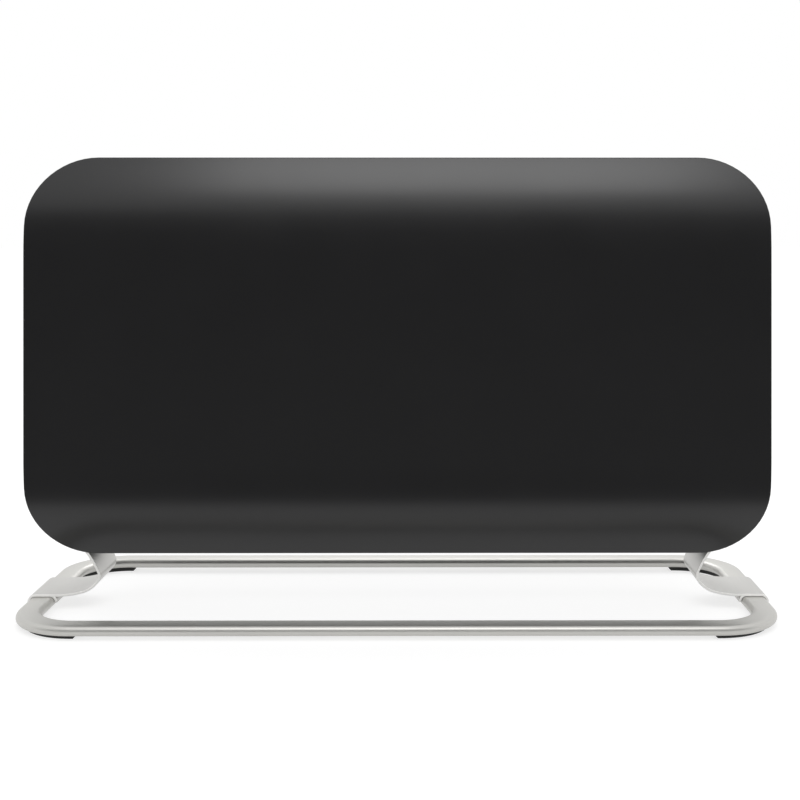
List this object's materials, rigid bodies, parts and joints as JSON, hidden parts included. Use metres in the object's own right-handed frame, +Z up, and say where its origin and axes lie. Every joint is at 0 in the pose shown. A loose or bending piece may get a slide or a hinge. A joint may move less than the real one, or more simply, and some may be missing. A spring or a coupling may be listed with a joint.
{
  "type": "convector heater",
  "caption": "Free-standing convector heater: two curved satin-black steel panels on silver curled legs over an oval-tube loop base.",
  "frame": {"origin": "on the floor under the middle of the base loop", "axes": "+X to the right seen from the front, -Y out of the front panel, +Z up"},
  "size_m": [0.7554, 0.28, 0.4615],
  "materials": {
    "black_steel": "satin powder coat",
    "casing_black": "fine moulded grain",
    "tube_silver": "satin anodised",
    "leg_silver": "satin silver with bright edges",
    "foot_rubber": "matt",
    "zinc_steel": "zinc plated",
    "shield_bright": "bright mill finish",
    "element_aluminium": "mill finish",
    "rod_steel": "heat tinted",
    "bush_ceramic": "unglazed ceramic",
    "control_black": "satin",
    "switch_plastic": "matt",
    "shaft_brass": "turned",
    "lamp_lens": "translucent amber",
    "terminal_white": "moulded"
  },
  "bodies": {
    "heater": {"front_panel": "black_steel", "rear_panel": "black_steel", "end_cap_left": "casing_black", "end_cap_right": "casing_black", "top_grille": "casing_black", "bottom_plate": "black_steel", "leg_left": "leg_silver", "leg_right": "leg_silver", "base_tube_front": "tube_silver", "base_tube_rear": "tube_silver", "tube_joiner_left": "switch_plastic", "tube_joiner_right": "switch_plastic", "foot_front_left": "foot_rubber", "foot_front_right": "foot_rubber", "foot_rear_left": "foot_rubber", "foot_rear_right": "foot_rubber", "end_bracket_left": "zinc_steel", "end_bracket_right": "zinc_steel", "heat_shield_front": "shield_bright", "heat_shield_rear": "shield_bright", "element_lower": "element_aluminium", "element_upper": "element_aluminium", "heater_rod_lower": "rod_steel", "heater_rod_upper": "rod_steel", "rod_bushes_left": "bush_ceramic", "rod_bushes_right": "bush_ceramic", "control_fascia": "control_black", "thermostat_body": "switch_plastic", "selector_body": "switch_plastic", "indicator_lamp": "lamp_lens", "cord_inlet": "control_black", "terminal_block": "terminal_white", "thermal_cutout": "zinc_steel", "tilt_frame": "zinc_steel", "tilt_pin": "zinc_steel", "leg_screws": "zinc_steel", "leg_nuts": "zinc_steel", "base_screws": "zinc_steel", "cap_screws": "zinc_steel", "rear_panel_screws": "zinc_steel", "front_panel_studs": "zinc_steel", "front_panel_nuts": "zinc_steel", "switch_screws": "zinc_steel"},
    "thermostat_dial": {"thermostat_knob": "control_black", "thermostat_shaft": "shaft_brass"},
    "selector_dial": {"selector_knob": "control_black", "selector_shaft": "shaft_brass"},
    "tilt_weight": {"tilt_pendulum": "zinc_steel"}
  },
  "joints": [
    {"name": "thermostat_turn", "type": "hinge", "parent": "heater", "child": "thermostat_dial", "pos_m": [0.3526, 0, 0.2845], "axis": [-1, 0, 0], "range_deg": [0, 270]},
    {"name": "selector_turn", "type": "hinge", "parent": "heater", "child": "selector_dial", "pos_m": [0.3526, 0, 0.2325], "axis": [-1, 0, 0], "range_deg": [0, 135]},
    {"name": "tilt_swing", "type": "hinge", "parent": "heater", "child": "tilt_weight", "pos_m": [0.3088, -0.03, 0.1845], "axis": [1, 0, 0], "range_deg": [-20, 20]}
  ]
}
